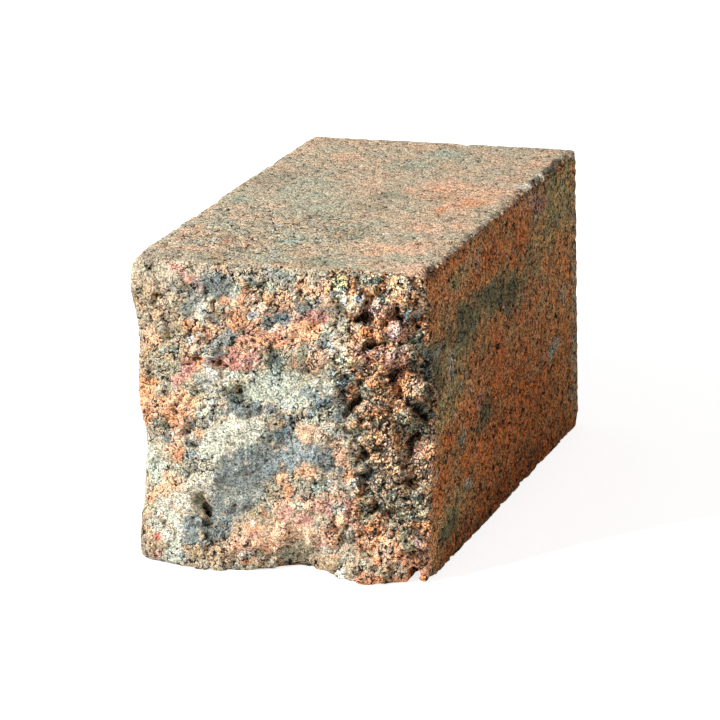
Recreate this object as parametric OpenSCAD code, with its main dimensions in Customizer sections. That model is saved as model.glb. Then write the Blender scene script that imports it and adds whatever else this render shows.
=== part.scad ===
// Split-faced garden wall block of dry-cast concrete.
// The bed lies on Z = 0, the split face looks along -Y and the origin is the centre of the bed.

/* [Block] */
// Width across the split face
block_w = 98; // [60:1:200]
// Height from the bed to the top
block_h = 100; // [60:1:200]
// Depth from the proudest lump of the split face to the back
block_d = 178; // [110:1:300]

/* [Moulded arrises] */
// Radius worn on the arrises that the mould made
arris_r = 1.6; // [1:0.1:4]
// How much that radius grows and shrinks along an arris
arris_wear = 0.8; // [0:0.1:0.9]
// Length over which the wear changes
wear_length = 17; // [8:1:60]
// Material struck off under the bed, which leaves its arris sharper than the others
bed_trim = 0.7; // [0.2:0.1:0.9]

/* [Split face] */
// Radius of the broken arris round the split face
split_arris_r = 3.2; // [2:0.1:8]
// Distance of the mean split plane behind the proudest lump
split_back = 8; // [4:0.5:14]
// Depth over which the grid of the flanks, bed and top follows the broken outline
split_reach = 34; // [28:1:60]
// Half the height between the lumps and the hollows of the natural break
break_relief = 1.6; // [0:0.1:3]
// Distance from one lump of the break to the next
break_length = 21; // [10:1:60]
// Size of the facets on the split face
facet = 2.8; // [2.6:0.1:8]
// How far the clods and pockets stand out or lie back, where 1 is as listed
clod_scale = 1; // [0:0.05:1.3]

/* [Chips] */
// Size of the chips knocked off the arrises, where 1 is as listed
chip_scale = 1; // [0.5:0.05:1.5]

/* [Hidden] */

// Swells and hollows of the split face: place as a share of width and height, reach across and
// up, and how far the surface is set back there. A negative set-back is a swell.
FRACTURE = [
    [1.03, 0.58, 10, 17, 10],    // scoop out of the right arris
    [0.88, 0.67, 6, 5, 3.5],     // pocket beside the scoop
    [0.76, 0.56, 8, 6, 4.5],     // pocket under the ledge
    [0.77, 0.84, 7, 4, 3],       // slot under the top
    [0.92, 0.35, 10, 8, 2.5],    // shallow shelf under the scoop
    [0.46, 0.36, 26, 20, -3.5],  // broad swell low in the middle
    [0.30, 0.63, 15, 9, 1.5],    // saddle over the swell
    [0.22, 0.20, 3.5, 4.5, 3.5], // pit in the swell's flank
    [0.00, 0.36, 11, 14, 5.5],   // left arris broken back
    [0.00, 0.72, 8, 9, 4],       // nick high in the left arris
    [0.02, 0.90, 9, 6, -2],      // left arris proud under the top
    [0.20, 0.03, 24, 11, -8],    // toe left proud at the lower left
    [0.57, 0.00, 8, 8, 3.5],     // undercut in the lower arris
    [0.78, 0.00, 13, 10, -8],    // lip left proud at the lower right
    [0.30, 0.93, 30, 9, -1.5],   // brow under the top arris
];

// Clods of aggregate that stayed on the face, and pockets that others left, in the same columns.
CLODS = [
    // crumbly right third, from the top down
    [0.89, 0.81, 4.5, 4.0, -2.0], [0.78, 0.79, 4.2, 3.4, -1.4], [0.88, 0.735, 4.5, 3.6, -2.0],
    [0.78, 0.72, 4.5, 3.6, -1.6], [0.955, 0.64, 3.4, 3.4, -2.0], [0.835, 0.63, 4.6, 3.4, -2.0],
    [0.80, 0.545, 3.2, 3.4, -2.4], [0.915, 0.56, 3.0, 3.0, -1.8], [0.845, 0.47, 4.6, 3.0, -2.0],
    [0.865, 0.365, 6.5, 3.6, -1.6], [0.855, 0.275, 5.0, 3.0, -1.2], [0.775, 0.185, 4.5, 3.4, -1.2],
    [0.885, 0.14, 7.0, 5.0, -1.4],
    // stones and clods of the belt under the top
    [0.26, 0.855, 3.8, 3.4, -1.6], [0.46, 0.87, 4.0, 3.0, -1.2], [0.385, 0.80, 4.4, 3.0, -1.2],
    [0.675, 0.795, 3.8, 3.0, -1.2], [0.28, 0.73, 4.4, 2.8, -1.4], [0.55, 0.70, 4.0, 3.6, -1.2],
    [0.27, 0.626, 4.0, 2.8, -1.6],
    // ridge that curls round the broad swell
    [0.36, 0.47, 7.0, 3.2, -1.6], [0.255, 0.37, 4.4, 6.0, -1.6], [0.205, 0.265, 4.6, 3.6, -1.4],
    // left column, swell and foot
    [0.115, 0.50, 4.4, 4.0, -1.2], [0.625, 0.395, 5.0, 4.6, -1.4], [0.66, 0.135, 4.6, 4.4, -1.4],
    [0.42, 0.13, 8.0, 4.0, -1.2],
];
POCKETS = [
    // crumbly right third, from the top down
    [0.89, 0.875, 3.6, 2.8, 3.0], [0.965, 0.85, 3.5, 3.5, 3.2], [0.83, 0.765, 5.0, 2.6, 3.0],
    [0.865, 0.525, 3.6, 4.0, 3.2], [0.94, 0.46, 3.6, 5.0, 3.6], [0.80, 0.41, 5.0, 3.0, 3.0],
    [0.79, 0.315, 4.0, 3.4, 2.4], [0.925, 0.31, 5.0, 3.0, 2.4], [0.83, 0.22, 5.0, 2.8, 2.4],
    [0.71, 0.135, 3.0, 4.0, 2.0],
    // elsewhere
    [0.43, 0.935, 4.0, 2.4, 1.4], [0.585, 0.925, 3.0, 3.0, 1.4], [0.305, 0.66, 3.6, 2.4, 1.6],
    [0.365, 0.575, 3.6, 2.8, 2.0], [0.53, 0.495, 3.4, 2.6, 1.4], [0.195, 0.415, 3.4, 3.4, 2.4],
];

// Chips: place as shares of width, depth and height, reach along X, Y and Z, and an outline number.
CHIPS = [
    [1.010, 0.06, 1.005, 2.8, 4.0, 2.8, 1],  // top right arris, near the split face
    [1.010, 0.66, 1.010, 2.8, 7.0, 2.8, 2],
    [1.005, 0.77, 1.010, 3.4, 8.0, 3.8, 3],  // ragged stretch of the top right arris
    [1.010, 0.87, 1.005, 3.2, 6.0, 3.6, 4],
    [1.005, 0.96, 1.015, 4.0, 8.0, 3.6, 5],
    [1.000, 1.00, 0.490, 1.9, 1.6, 2.6, 6],  // nick in the back arris
    [1.000, 1.00, 0.000, 4.2, 4.8, 4.4, 7],  // lower right corner at the back
    [0.945, 0.05, 0.000, 1.9, 17, 6.2, 8],   // notch in the lower front arris
    [0.000, 0.05, 1.000, 1.8, 3.6, 2.2, 9],  // top left corner at the split face
    [0.000, 0.01, 0.000, 5.6, 4.6, 5.6, 10], // lower left corner at the split face
    [1.000, 0.05, 0.000, 3.4, 6.0, 2.6, 11], // lower right corner at the split face
    [0.000, 0.46, 1.000, 1.6, 3.6, 2.0, 12],
    [0.000, 0.75, 1.000, 1.6, 3.2, 1.8, 13],
    [0.220, 1.00, 1.000, 4.6, 1.8, 2.0, 14],
    [0.580, 1.00, 1.000, 3.4, 1.6, 1.8, 15],
    [0.000, 1.00, 0.420, 1.8, 1.8, 4.4, 16],
    [0.640, 1.00, 0.000, 4.2, 1.8, 1.8, 17],
];

far_station = 10;     // spacing of the rings along the flanks, away from the split face
most_facets = 34;     // most facets across the split face, and up it
most_rings = 18;      // most rings along the flanks, away from the split face
steps_in_arris = 2;   // facets from the edge of a worn arris to its middle
half = [block_w / 2, block_d / 2, (block_h + bed_trim) / 2];
middle = [0, 0, (block_h - bed_trim) / 2];
reach = min(split_reach, 0.45 * block_d);

function fade(t) = let (s = max(0, min(1, t))) s * s * (3 - 2 * s);
function mix(a, b, t) = a + (b - a) * t;
function clamp(v, most) = max(-most, min(most, v));

// Smooth noise from 0 to 1 with one random value at each whole number.
function lattice(i, j, k) = let (v = sin(i * 127.1 + j * 311.7 + k * 74.7) * 43758.5453) v - floor(v);
function noise(p) =
    let (i = floor(p.x), j = floor(p.y), k = floor(p.z),
         u = fade(p.x - i), v = fade(p.y - j), w = fade(p.z - k))
    mix(mix(mix(lattice(i, j, k), lattice(i + 1, j, k), u),
            mix(lattice(i, j + 1, k), lattice(i + 1, j + 1, k), u), v),
        mix(mix(lattice(i, j, k + 1), lattice(i + 1, j, k + 1), u),
            mix(lattice(i, j + 1, k + 1), lattice(i + 1, j + 1, k + 1), u), v), w);

// Three octaves of the natural break, from -1 to 1: ridges where the noise crosses its middle.
function ridge(p) = 1 - 2 * abs(2 * noise(p) - 1);
function rubble(p) = 0.62 * ridge(p) + 0.38 * (2 * noise(2.3 * p) - 1) + 0.25 * ridge(4.1 * p);

// Set-back that the forms of a list give at a point of the split face.
function total(list, i = 0) = i < len(list) ? list[i] + total(list, i + 1) : 0;
function listed(forms, x, z) = total([
    for (f = forms)
        let (dx = (x - (f[0] - 0.5) * block_w) / f[2], dz = (z - f[1] * block_h) / f[3])
        f[4] * exp(-(dx * dx + dz * dz))
]);
function set_back(x, z) =
    let (broad = split_back + listed(FRACTURE, x, z) - break_relief * rubble([x, 0, z] / break_length),
         near = clod_scale * (listed(CLODS, x, z) + listed(POCKETS, x, z)))
    max(0, min(0.8 * reach, broad + near));

// Worn radius at a point of the sharp block: larger towards the split face, uneven elsewhere.
function worn_radius(p) =
    let (broken = fade(1 - (p.y + half.y) / (0.6 * reach)),
         uneven = arris_wear * (2 * noise(p / wear_length) - 1))
    mix(arris_r, split_arris_r, broken) + uneven;

// Moves a point of the sharp block onto the worn one, then back to the split face.
function worn(p) =
    let (r = worn_radius(p), q = p - middle,
         core = [for (a = [0:2]) clamp(q[a], half[a] - r)],
         out = q - core, at = middle + core + out * r / norm(out),
         follow = max(0, 1 - (at.y + half.y) / reach))
    at + [0, set_back(at.x, at.z) * follow, 0];

// Stations from -h to h, close together in the arris at each end.
function arris_lines(r) = [for (i = [0:steps_in_arris - 1]) r * (1 - tan(45 - 45 * i / steps_in_arris))];
function even(from, to, pitch, most) =
    let (n = min(most, max(1, round((to - from) / pitch)))) [for (i = [0:n]) mix(from, to, i / n)];
function mirrored(list) = [for (i = [len(list) - 1:-1:0]) -list[i]];
function across(h) =
    let (edge = [for (d = arris_lines(split_arris_r)) d - h])
    concat(edge, even(split_arris_r - h, h - split_arris_r, facet, most_facets), mirrored(edge));
function along(h) =
    let (front = [for (d = arris_lines(split_arris_r)) d - h],
         back = mirrored([for (d = arris_lines(arris_r)) d - h]),
         near = [for (t = [0:1 / 7:0.99]) mix(split_arris_r, reach, t * t * 0.5 + t * 0.5) - h])
    concat(front, near, even(reach - h, h - arris_r, far_station, most_rings), back);

xs = across(half.x);
ys = along(half.y);
zs = [for (z = across(half.z)) z + middle.z];
nx = len(xs) - 1;
nz = len(zs) - 1;
round_n = 2 * (nx + nz);

// Column and row of point m of a ring that runs round the section, anticlockwise from -Y.
function ring_col(m) = m <= nx ? m : m <= nx + nz ? nx : m <= 2 * nx + nz ? 2 * nx + nz - m : 0;
function ring_row(m) = m <= nx ? 0 : m <= nx + nz ? m - nx : m <= 2 * nx + nz ? nz : round_n - m;
function face_index(i, k) = k * (nx + 1) + i;
face_n = (nx + 1) * (nz + 1);
function ring_index(j, m) =
    let (w = m % round_n)
    j == 0 ? face_index(ring_col(w), ring_row(w)) : face_n + (j - 1) * round_n + w;

// The block as it leaves the splitter, before chips: one closed skin of facets.
module worn_body() {
    last = len(ys) - 1;
    split_face = [for (k = [0:nz], i = [0:nx]) worn([xs[i], ys[0], zs[k]])];
    rings = [for (j = [1:last], m = [0:round_n - 1]) worn([xs[ring_col(m)], ys[j], zs[ring_row(m)]])];
    back_centre = [0, half.y, middle.z];
    back_index = face_n + last * round_n;
    split_quads = [
        for (k = [0:nz - 1], i = [0:nx - 1])
            [face_index(i, k), face_index(i, k + 1), face_index(i + 1, k + 1), face_index(i + 1, k)]
    ];
    flank_quads = [
        for (j = [0:last - 1], m = [0:round_n - 1])
            [ring_index(j, m), ring_index(j, m + 1), ring_index(j + 1, m + 1), ring_index(j + 1, m)]
    ];
    quads = concat(split_quads, flank_quads);
    back_fan = [for (m = [0:round_n - 1]) [ring_index(last, m), ring_index(last, m + 1), back_index]];
    // The diagonal of the quads alternates, so that it gives the break no grain.
    triangles = [
        for (n = [0:len(quads) - 1])
            let (q = quads[n], odd = n % 2)
            each [[q[odd], q[odd + 1], q[odd + 2]], [q[odd], q[odd + 2], q[(odd + 3) % 4]]]
    ];
    polyhedron(points = concat(split_face, rings, [back_centre]), faces = concat(triangles, back_fan));
}

// Twenty-sided lump with an uneven outline, which is what a chip takes away.
module flake(reach, seed) {
    g = (1 + sqrt(5)) / 2;
    corners = [
        [-1, g, 0], [1, g, 0], [-1, -g, 0], [1, -g, 0], [0, -1, g], [0, 1, g],
        [0, -1, -g], [0, 1, -g], [g, 0, -1], [g, 0, 1], [-g, 0, -1], [-g, 0, 1]
    ];
    sides = [
        [0, 5, 11], [0, 1, 5], [0, 7, 1], [0, 10, 7], [0, 11, 10],
        [1, 9, 5], [5, 4, 11], [11, 2, 10], [10, 6, 7], [7, 8, 1],
        [3, 4, 9], [3, 2, 4], [3, 6, 2], [3, 8, 6], [3, 9, 8],
        [4, 5, 9], [2, 11, 4], [6, 10, 2], [8, 7, 6], [9, 1, 8]
    ];
    points = [
        for (i = [0:11])
            let (c = corners[i] / norm(corners[i]) * (0.82 + 0.36 * lattice(i, seed, 5)))
            [c.x * reach.x, c.y * reach.y, c.z * reach.z]
    ];
    polyhedron(points = points, faces = sides);
}

module wall_block() {
    color("rosybrown")
        difference() {
            worn_body();
            translate([-block_w, -block_d, -block_h]) cube([2 * block_w, 2 * block_d, block_h]);
            for (c = CHIPS)
                translate([(c[0] - 0.5) * block_w, (c[1] - 0.5) * block_d, c[2] * block_h])
                    flake([c[3], c[4], c[5]] * chip_scale, c[6]);
        }
}

wall_block();
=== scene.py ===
"""Split-faced garden wall block: the looks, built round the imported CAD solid.

Lengths in this file are millimetres in the part's own frame, and MM turns them into Blender's metres.
The split face looks along -Y, the bed lies on Z = 0 and X runs along the width of the split face.
"""
import math
from functools import partial

import bmesh
import bpy
import numpy as np
from mathutils import Matrix, Vector, kdtree


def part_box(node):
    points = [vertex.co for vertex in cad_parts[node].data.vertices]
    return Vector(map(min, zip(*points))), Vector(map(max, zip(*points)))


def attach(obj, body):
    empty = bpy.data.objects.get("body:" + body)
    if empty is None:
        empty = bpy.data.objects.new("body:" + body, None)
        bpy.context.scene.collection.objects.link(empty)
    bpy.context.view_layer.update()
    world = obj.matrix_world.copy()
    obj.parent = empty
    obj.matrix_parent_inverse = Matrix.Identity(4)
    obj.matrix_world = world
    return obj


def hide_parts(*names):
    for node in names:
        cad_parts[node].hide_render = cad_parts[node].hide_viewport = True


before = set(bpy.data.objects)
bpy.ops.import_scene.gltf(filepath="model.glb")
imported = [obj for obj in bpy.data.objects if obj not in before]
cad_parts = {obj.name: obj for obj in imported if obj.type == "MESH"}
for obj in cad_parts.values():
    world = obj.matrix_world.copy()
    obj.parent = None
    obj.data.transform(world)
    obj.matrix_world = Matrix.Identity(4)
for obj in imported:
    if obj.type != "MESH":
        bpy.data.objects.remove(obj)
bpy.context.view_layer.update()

MM = 0.001
COARSE_MM = 0.6          # voxel of the skin that takes the coarse relief
FINE_MM = 0.40           # voxel of the skin once its grains are fused to it
MAX_TRIANGLES = 196_000  # of the finished skin
FLAT_TRIANGLES = 76_000  # of these on the moulded faces
BRIGHTEN = 1.03          # the painted shade of the pores that the material adds takes this much light away again
BRIGHTEN_GAPS_AND_SHADED_SIDE = 0.44     # and this much more on the crumbly third, against the painted shade of its gaps, and on the right face, which is painted lighter where it lies in shade

low, high = (np.array(c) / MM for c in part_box("wall_block"))
WIDTH, DEPTH, HEIGHT = high - low
HALF_W, HALF_D = WIDTH / 2, DEPTH / 2


# ---------------------------------------------------------------- noise

def hashed(i, j, k, seed):
    """A random number from 0 to 1 for each whole-numbered place."""
    n = (i * 73856093) ^ (j * 19349663) ^ (k * 83492791) ^ (seed * 971_634_121 + 12345)
    n = (n ^ (n >> 13)) & 0x7FFFFFFF
    n = (n * 1274126177) & 0x7FFFFFFF
    n = (n ^ (n >> 15)) & 0x7FFFFFFF
    n = (n * 668265263) & 0x7FFFFFFF
    n = n ^ (n >> 16)
    return (n & 0xFFFFFF) / float(0x1000000)


def fade(t):
    """0 below 0, 1 above 1 and a soft rise between."""
    t = np.clip(t, 0.0, 1.0)
    return t * t * (3 - 2 * t)


def value_noise(p, seed):
    """Smooth noise from -1 to 1."""
    base = np.floor(p).astype(np.int64)
    f = fade(p - base)
    total = np.zeros(len(p))
    for dx in (0, 1):
        wx = f[:, 0] if dx else 1 - f[:, 0]
        for dy in (0, 1):
            wy = f[:, 1] if dy else 1 - f[:, 1]
            for dz in (0, 1):
                wz = f[:, 2] if dz else 1 - f[:, 2]
                corner = hashed(base[:, 0] + dx, base[:, 1] + dy, base[:, 2] + dz, seed)
                total += wx * wy * wz * corner
    return 2 * total - 1


def fractal(p, size, octaves, seed):
    """Noise from about -1 to 1 whose largest lumps are size across."""
    total, weight, scale = np.zeros(len(p)), 1.0, 1.0 / size
    for octave in range(octaves):
        total += weight * value_noise(p * scale + 17.3 * octave, seed + octave)
        weight *= 0.5
        scale *= 2.07
    return total


def drift(p, size, seed):
    """A small sideways wander of places, as vectors."""
    return np.stack([fractal(p, size, 2, seed + n) for n in range(3)], -1)


def cells(p, size, seed):
    """Grains about size across: distance to the nearest centre and to the one after, and that centre."""
    q = p / size
    base = np.floor(q).astype(np.int64)
    first = np.full(len(p), 9.0)
    second = np.full(len(p), 9.0)
    centre = np.zeros((len(p), 3))
    for dx in (-1, 0, 1):
        for dy in (-1, 0, 1):
            for dz in (-1, 0, 1):
                i, j, k = base[:, 0] + dx, base[:, 1] + dy, base[:, 2] + dz
                c = np.stack([i + hashed(i, j, k, seed),
                              j + hashed(i, j, k, seed + 101),
                              k + hashed(i, j, k, seed + 202)], -1)
                d = np.sqrt(((c - q) ** 2).sum(1))
                nearer = d < first
                second = np.where(nearer, first, np.minimum(second, d))
                centre[nearer] = c[nearer]
                first = np.where(nearer, d, first)
    return first, second, centre * size


def per_grain(centre, size, seed):
    """One random number from 0 to 1 for each grain of cells()."""
    g = np.floor(centre / size * 8).astype(np.int64)
    return hashed(g[:, 0], g[:, 1], g[:, 2], seed)


def crumbs(p, size, seed, missing):
    """Grains about size across: height, dome, the gap round each, and how empty its place is."""
    near, after, centre = cells(p, size, seed)
    height = 2 * per_grain(centre, size, seed + 1) - 1
    dome = np.clip(1 - (near / 0.75) ** 2, -0.5, 1)
    gap = fade(1 - (after - near) / 0.28)
    empty = (per_grain(centre, size, seed + 2) < missing) * fade((0.62 - near) / 0.25)
    return height, dome, gap, empty


# ---------------------------------------------------------------- meshes

def modified(mesh, kind, only=None, **settings):
    """The mesh after one modifier, which can be kept to some of the points."""
    obj = bpy.data.objects.new("skin", mesh)
    bpy.context.scene.collection.objects.link(obj)
    modifier = obj.modifiers.new(kind, kind)
    if only is not None:
        obj.vertex_groups.clear()
        obj.vertex_groups.new(name="only").add(np.flatnonzero(only).tolist(), 1.0, "REPLACE")
        modifier.vertex_group = "only"
    for key, value in settings.items():
        setattr(modifier, key, value)
    bpy.context.view_layer.update()
    result = bpy.data.meshes.new_from_object(obj.evaluated_get(bpy.context.evaluated_depsgraph_get()))
    bpy.data.objects.remove(obj)
    return result


def remeshed(mesh, voxel):
    return modified(mesh, "REMESH", mode="VOXEL", voxel_size=voxel * MM)


def triangle_count(mesh):
    return sum(len(p.vertices) - 2 for p in mesh.polygons)


def thinned(mesh, where, triangles):
    """The mesh brought down to a number of triangles, taken away only where asked."""
    return modified(mesh, "DECIMATE", where, ratio=triangles / triangle_count(mesh),
                    use_collapse_triangulate=True, vertex_group_factor=1.0)


def vertices(mesh):
    co = np.empty(len(mesh.vertices) * 3, np.float32)
    mesh.vertices.foreach_get("co", co)
    return co.reshape(-1, 3).astype(float) / MM


def normals(mesh):
    n = np.empty(len(mesh.vertices) * 3, np.float32)
    mesh.vertex_normals.foreach_get("vector", n)
    return n.reshape(-1, 3).astype(float)


def move_to(mesh, points):
    mesh.vertices.foreach_set("co", (points * MM).astype(np.float32).ravel())
    mesh.update()


def mesh_from(name, points, faces):
    mesh = bpy.data.meshes.new(name)
    mesh.vertices.add(len(points))
    mesh.vertices.foreach_set("co", (points * MM).astype(np.float32).ravel())
    mesh.loops.add(faces.size)
    mesh.loops.foreach_set("vertex_index", faces.astype(np.int32).ravel())
    mesh.polygons.add(len(faces))
    mesh.polygons.foreach_set("loop_start", (faces.shape[1] * np.arange(len(faces))).astype(np.int32))
    mesh.update(calc_edges=True)
    return mesh


def joined(first, second):
    """One mesh holding the shells of both."""
    both = bmesh.new()
    both.from_mesh(first)
    both.from_mesh(second)
    result = bpy.data.meshes.new("shells")
    both.to_mesh(result)
    both.free()
    return result


def ball(subdivisions):
    """Vertices and faces of a ball."""
    mesh = bmesh.new()
    bmesh.ops.create_icosphere(mesh, subdivisions=subdivisions, radius=1)
    points = np.array([v.co[:] for v in mesh.verts])
    faces = np.array([[v.index for v in f.verts] for f in mesh.faces])
    mesh.free()
    return points, faces


def tree_of(points):
    """A tree that finds the nearest of the points."""
    tree = kdtree.KDTree(len(points))
    for n, place in enumerate(points):
        tree.insert(place, n)
    tree.balance()
    return tree


# ---------------------------------------------------------------- the split face

# The patches and hollows of the split face run into the block along this slanting line.
SLANT_X, SLANT_Z = 0.354, 0.318
FACE_Y = 8 - HALF_D      # where their places are measured
CRUMBLY_X, CRUMBLY_Z = 19, 6       # the crumbly third lies beyond the one and above the other
CRUMBLY_COLOUR_X = 22.5            # and its colours begin here

# Hollows and open cracks in the split face: depth, centre along X and Z, reach along X and Z, and a
# turn in degrees for those that are turned.
HOLLOWS = [
    (3.6, -26.3, 16.8, 1.4, 3.4), (2.2, -27.2, 13.2, 3.2, 0.7, 8), (1.2, -26.5, 9.4, 1.6, 1.4),
    (1.8, -29.6, 39.6, 1.5, 0.8), (1.5, -30.6, 43.4, 1.7, 0.7, 20), (1.6, -20, 67, 0.8, 1),
    (1.5, -17.8, 65.6, 0.9, 0.7), (1.4, -18.4, 72.6, 0.8, 1.4, -20), (1.2, -38.6, 60.4, 1.4, 0.8, 20),
    (1, -33.6, 85.4, 0.9, 0.5), (1.4, -20.6, 86, 0.6, 1.5, -15), (1.2, -13.4, 58.6, 2.4, 1.2),
    (1.2, -17.4, 96, 0.8, 2.4), (1.2, -6, 94, 2.6, 0.45, -8), (1.2, -1.4, 96.4, 0.7, 1.2),
    (1.2, 8.4, 92.4, 0.9, 2), (1.3, -24.6, 74.6, 1.5, 0.7, 45), (1.3, -27.2, 68.4, 1.4, 0.6),
    (1.3, -7.6, 75.4, 0.7, 1), (1.3, -5.4, 72, 0.5, 1.5, 25), (1.1, 11.6, 82, 0.7, 0.8),
    (1, -39.5, 88, 2.6, 0.6, 15), (0.9, -41.4, 88, 1.2, 0.5), (1.2, -2.6, 67.6, 0.6, 1.1),
    (4, 28.6, 85.6, 1.5, 2.7, -38), (2.6, 31, 87, 1.2, 0.6, 10), (2, 26.2, 83.4, 2.6, 0.5, 12),
    (3.2, 38.6, 88, 2.3, 1.4, 25), (2.2, 30.6, 90.4, 1.2, 0.6, 15), (2.6, 41.4, 85.4, 1.2, 1.8, 40),
    (2.4, 46, 85.6, 0.9, 2, 20), (1.8, 44.6, 90.8, 2.4, 0.5), (2.6, 31.4, 76.8, 2.2, 0.7, 22),
    (2, 26, 75.6, 3, 0.5), (2, 34, 77.4, 2.6, 0.5, 30), (2.2, 31.6, 71.6, 1.3, 0.9, 20),
    (1.6, 22.4, 79.4, 2, 0.5, 20), (1.6, 20.4, 88.6, 1.4, 0.6, 30), (3.6, 41, 68, 1.9, 1.1, 12),
    (3, 38, 65.4, 0.9, 1.5), (2.4, 35, 67.4, 0.9, 1), (2.6, 46.4, 69.6, 2.4, 0.8, 5),
    (4.2, 24.6, 56.6, 1.3, 3.2, -45), (3, 27, 59.4, 1.4, 1), (2, 26, 64.4, 1.6, 0.7, 30),
    (3.4, 34.6, 52.6, 0.9, 3.2, -45), (2.6, 39, 57.4, 2.4, 0.6, 40), (2.6, 43, 58, 1.4, 1.6),
    (2.4, 38.8, 50.4, 1.4, 1.2), (4, 44.6, 46.6, 1, 3.4, -38), (2.4, 40, 47, 1.8, 0.7, 20),
    (2.8, 32.2, 43, 0.8, 2.6, -55), (2.2, 28, 41.6, 0.8, 1.4, 20), (2.6, 25.6, 38.8, 0.7, 2, -30),
    (2.2, 29.4, 30, 2.2, 0.6, 40), (2, 27, 34, 2.6, 0.6, -25), (2, 40, 30.4, 3.6, 0.5, 35),
    (1.8, 43.6, 33, 3, 0.5, 30), (1.8, 30.6, 23.4, 2.8, 0.6, 12), (1.8, 35, 21, 1.6, 0.7, 30),
    (2.6, 20.8, 13.6, 0.8, 2, -15), (1.8, 30, 15.4, 1.6, 0.6), (1.8, 31.4, 12.4, 0.8, 1),
    (1.4, 27, 9.4, 1.2, 0.6), (2.6, 23, 47.6, 2, 0.8, 10), (2, 21.6, 49, 1, 1), (1.4, 4.2, 49, 0.9, 1.6),
    (1.2, 22.6, 62.6, 0.6, 1.2), (3, 47, 56, 1.6, 2.2), (1.4, 42.4, 9.4, 1.2, 0.7), (1.4, 3.6, 1.2, 3.4, 1),
    (1, -12.6, 2.2, 2.2, 0.7),
]
# Lumps and stones that stand proud of it, in the same form but with a height.
LUMPS = [
    (0.9, -23.7, 85.4, 2.9, 2.6), (1, -22.6, 63, 3, 1.9, -10), (0.9, -21.6, 72.6, 3.2, 1.6, 18),
    (0.7, 17.2, 79.6, 3, 2.1), (0.6, 22, 96.6, 2.2, 1.8), (1.6, 35.6, 90.6, 2.4, 2.1),
    (1.2, 44, 87.6, 2.4, 2), (1, 27, 80, 3.2, 2.6), (1.2, 33, 88, 2.6, 2.2, 20), (1, 27, 73, 3.2, 2.4),
    (0.9, 38.6, 81, 3.4, 3.4), (0.9, 38, 73.4, 3.6, 3), (1.2, 33, 63.6, 3.8, 2.6),
    (1.2, 37.6, 60.4, 2.6, 1.8, 20), (1.4, 45.2, 64.4, 2.6, 2.8), (1.5, 29.8, 54.6, 2.8, 2.6),
    (1.2, 41, 56.4, 2.2, 1.6), (1.2, 37.6, 54, 1.6, 1.4), (1.2, 34, 47, 3.8, 2.4), (1, 36, 36, 6, 3.6, 30),
    (0.9, 31.3, 17.4, 2.2, 1.5), (0.9, 25.8, 27.5, 2, 1.8), (0.6, 12, 39.6, 4.6, 4.2),
    (0.5, 4.4, 37.6, 4.6, 4.2), (0.6, -26, 59.6, 2.6, 2.6), (0.7, -29.6, 58.2, 2.4, 2.6),
    (0.6, -20.5, 56.6, 4, 2.6, 20), (0.5, 19.8, 28, 2, 2), (0.5, -7, 95.4, 2.6, 0.7, -5),
    (0.5, 15.5, 13.4, 3.6, 3.4),
]


def seen_from_front(p):
    """Places on the split face as X and Z at FACE_Y."""
    deeper = p[:, 1] - FACE_Y
    return p[:, 0] + SLANT_X * deeper, p[:, 2] + SLANT_Z * deeper


def within(a, b, centre_a, centre_b, reach_a, reach_b, turn=0):
    """Distance of places (a, b) from the middle of an oval, turned by degrees, 1 on its edge."""
    t = math.radians(turn)
    da, db = a - centre_a, b - centre_b
    along = (da * math.cos(t) + db * math.sin(t)) / reach_a
    across = (db * math.cos(t) - da * math.sin(t)) / reach_b
    return np.sqrt(along * along + across * across)


def split_share(p, n):
    """How much a point belongs to the split face."""
    return fade((-n[:, 1] - 0.25) / 0.45) * fade((60 - p[:, 1] - HALF_D) / 20)


def looseness(p):
    """How crumbly the split face is: its right third comes apart, the rest is firm."""
    wobble = fractal(p, 16, 2, 5)
    return fade((p[:, 0] - CRUMBLY_X + 6 * wobble) / 7) * fade((p[:, 2] - CRUMBLY_Z) / 14)


def hollowness(p):
    """Depth of the named hollows less the height of the named lumps, in millimetres."""
    across, rise = seen_from_front(p + 0.9 * drift(p, 3, 40))
    ragged_edge = 0.5 * fractal(p, 1.8, 2, 64)
    depth = np.zeros(len(p))
    for deep, *oval in HOLLOWS:
        near_side = within(across + 0.2 * deep, rise + 0.2 * deep, *oval)
        depth += deep * fade(0.5 + (1 - near_side + ragged_edge) / 0.9)
    for tall, *oval in LUMPS:
        depth -= tall * fade(0.5 + (1 - within(across, rise, *oval) + 0.5 * ragged_edge) / 1.1)
    return depth


# First the coarse relief of the split face: gentle lumps, the named hollows and stones, and the
# crumbly third set back to make room for its clods.
SWELL, ALL_BACK, ROOM_FOR_CLODS, NAMED_SHARE = 0.35, 0.2, 1.3, 0.9
PROUDEST = 0.4 - HALF_D  # the front of the coarse relief, so that grains have room before it

skin = remeshed(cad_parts["wall_block"].data.copy(), COARSE_MM)
skin = modified(skin, "SMOOTH", factor=0.6, iterations=5)
P, N = vertices(skin), normals(skin)
split = split_share(P, N)
on_split = split > 0.001
places = P[on_split]
lift = (SWELL * fractal(places, 7, 3, 21) - ALL_BACK - ROOM_FOR_CLODS * looseness(places)
        - NAMED_SHARE * hollowness(places))
P[on_split] += (split[on_split] * lift)[:, None] * N[on_split]
P[:, 1] = np.maximum(P[:, 1], PROUDEST)
move_to(skin, P)

# Then the clods and grains of the mix, sunk in the split face or standing proud of it.
SEED = 7
CLOD_SIZES = [(3.0, 60, 14), (1.9, 190, 110)]       # radius, number on the firm part, on the loose
GRAIN_SIZES = [(1.25, 160, 950), (0.85, 600, 3400), (0.55, 1600, 4800)]
PROUD = (-0.78, -0.20), (-0.30, 0.50)   # how far out their centres stand on the two parts, in radii
SIZE_SPREAD, STRETCH = (0.75, 1.3), (0.72, 1.18)
CLOD_DENT, GRAIN_DENT = 0.07, 0.12
rng = np.random.default_rng(SEED)


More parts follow.
